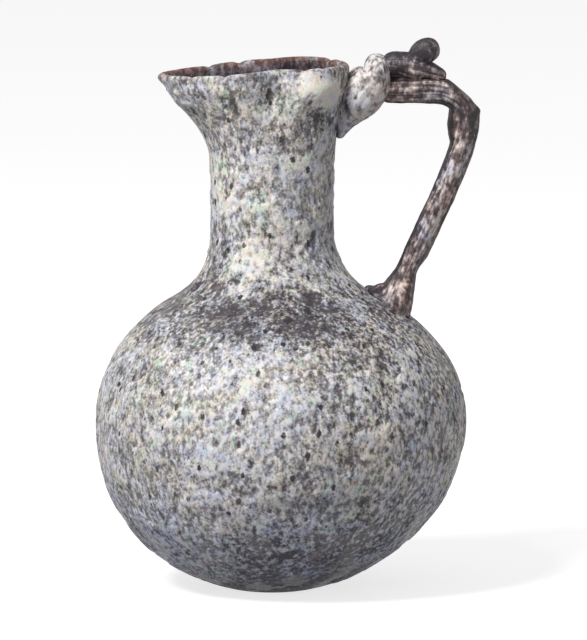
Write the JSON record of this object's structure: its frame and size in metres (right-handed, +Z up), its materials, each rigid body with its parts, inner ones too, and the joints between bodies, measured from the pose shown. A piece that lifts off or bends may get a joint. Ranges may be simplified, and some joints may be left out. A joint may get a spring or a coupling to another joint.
{
  "type": "glass jug",
  "caption": "Free-blown glass jug with a round belly, a tall neck, a pinched three-lobed mouth with a spout, and a bent rod handle with a knobbed thumb rest.",
  "frame": {"origin": "centre of the flat base, on the surface that the jug stands on", "axes": "+Z up along the neck, +X towards the handle, -X towards the spout"},
  "size_m": [0.0956, 0.0928, 0.1377],
  "materials": {
    "weathered_glass": "opaque weathering crust, pitted and matt, faint iridescence",
    "handle_glass": "weathered glass, darker and smoother than the belly"
  },
  "bodies": {
    "root": {"vessel": "weathered_glass", "handle": "handle_glass", "rim_clasp": "handle_glass", "thumb_rest": "handle_glass"}
  },
  "joints": []
}
